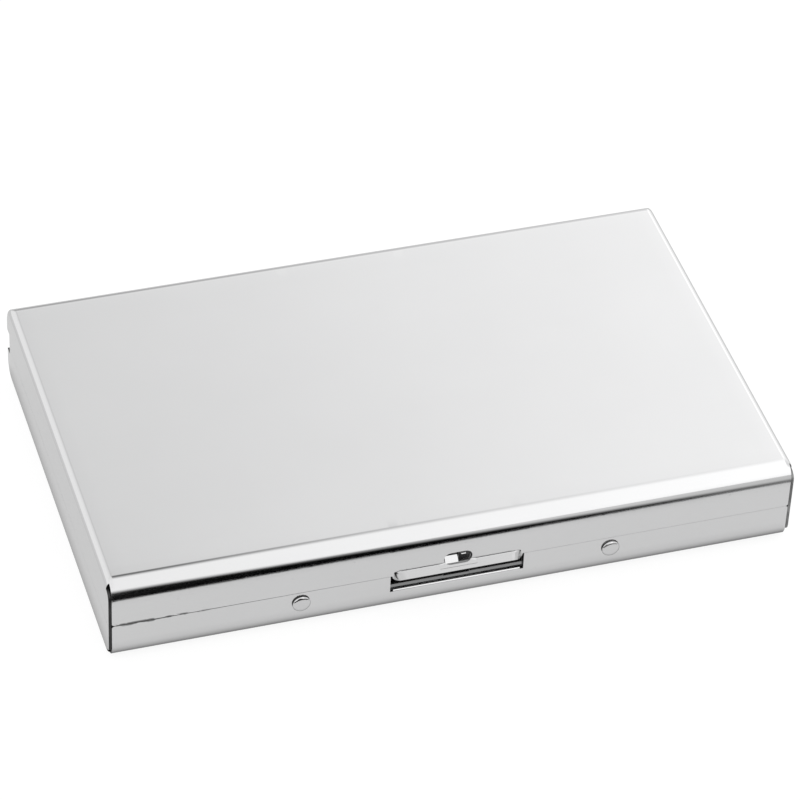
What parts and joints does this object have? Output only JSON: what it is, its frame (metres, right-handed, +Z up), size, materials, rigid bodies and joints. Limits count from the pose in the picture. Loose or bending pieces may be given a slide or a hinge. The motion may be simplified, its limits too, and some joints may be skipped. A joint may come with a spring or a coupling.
{
  "type": "business card case",
  "caption": "Slim hinged business card case of polished stainless steel: two shallow trays, a rear knuckle hinge, a riveted spring catch and a fan of translucent card pockets.",
  "frame": {"origin": "middle of the base's underside, between the outer faces of its walls", "axes": "+X along the case, -Y towards the catch at the front, +Y towards the hinge, +Z up through the lid"},
  "size_m": [0.096, 0.0613, 0.0132],
  "materials": {
    "polished_steel": "polished stainless steel with fine handling marks",
    "spring_steel": "bright rolled spring steel",
    "rivet_steel": "formed and lightly polished",
    "pocket_film": "frosted translucent film",
    "pleat_film": "frosted translucent film, creased",
    "tape": "dull acrylic adhesive"
  },
  "bodies": {
    "base": {"base_shell": "polished_steel", "hinge_pin": "spring_steel", "catch_spring": "spring_steel", "rivet_left": "rivet_steel", "rivet_right": "rivet_steel", "tape_base": "tape", "pocket_sheet_base": "pocket_film", "gusset_left": "pleat_film", "gusset_right": "pleat_film"},
    "lid": {"lid_shell": "polished_steel", "tape_lid": "tape", "pocket_sheet_lid": "pocket_film"},
    "catch": {"catch_tongue": "spring_steel"},
    "divider_1": {"pocket_divider_1": "pocket_film"},
    "divider_2": {"pocket_divider_2": "pocket_film"},
    "divider_3": {"pocket_divider_3": "pocket_film"},
    "divider_4": {"pocket_divider_4": "pocket_film"},
    "divider_5": {"pocket_divider_5": "pocket_film"}
  },
  "joints": [
    {"name": "lid_hinge", "type": "hinge", "parent": "base", "child": "lid", "pos_m": [0, 0.0293, 0.0062], "axis": [-1, 0, 0], "range_deg": [0, 60], "deforming": ["gusset_left", "gusset_right"]},
    {"name": "catch_press", "type": "slide", "parent": "base", "child": "catch", "axis": [0, 1, 0], "range_m": [0, 0.0006], "stiffness_N_per_m": 4000, "deforming": ["catch_spring"]},
    {"name": "divider_1_fan", "type": "hinge", "parent": "base", "child": "divider_1", "pos_m": [0, 0.0293, 0.0062], "axis": [-1, 0, 0], "range_deg": [0, 10]},
    {"name": "divider_2_fan", "type": "hinge", "parent": "base", "child": "divider_2", "pos_m": [0, 0.0293, 0.0062], "axis": [-1, 0, 0], "range_deg": [0, 20]},
    {"name": "divider_3_fan", "type": "hinge", "parent": "base", "child": "divider_3", "pos_m": [0, 0.0293, 0.0062], "axis": [-1, 0, 0], "range_deg": [0, 30]},
    {"name": "divider_4_fan", "type": "hinge", "parent": "base", "child": "divider_4", "pos_m": [0, 0.0293, 0.0062], "axis": [-1, 0, 0], "range_deg": [0, 40]},
    {"name": "divider_5_fan", "type": "hinge", "parent": "base", "child": "divider_5", "pos_m": [0, 0.0293, 0.0062], "axis": [-1, 0, 0], "range_deg": [0, 50]}
  ],
  "couplings": [
    {"joint": "divider_1_fan", "follows": "lid_hinge", "ratio": 0.16667},
    {"joint": "divider_2_fan", "follows": "lid_hinge", "ratio": 0.33333},
    {"joint": "divider_3_fan", "follows": "lid_hinge", "ratio": 0.5},
    {"joint": "divider_4_fan", "follows": "lid_hinge", "ratio": 0.66667},
    {"joint": "divider_5_fan", "follows": "lid_hinge", "ratio": 0.83333}
  ]
}
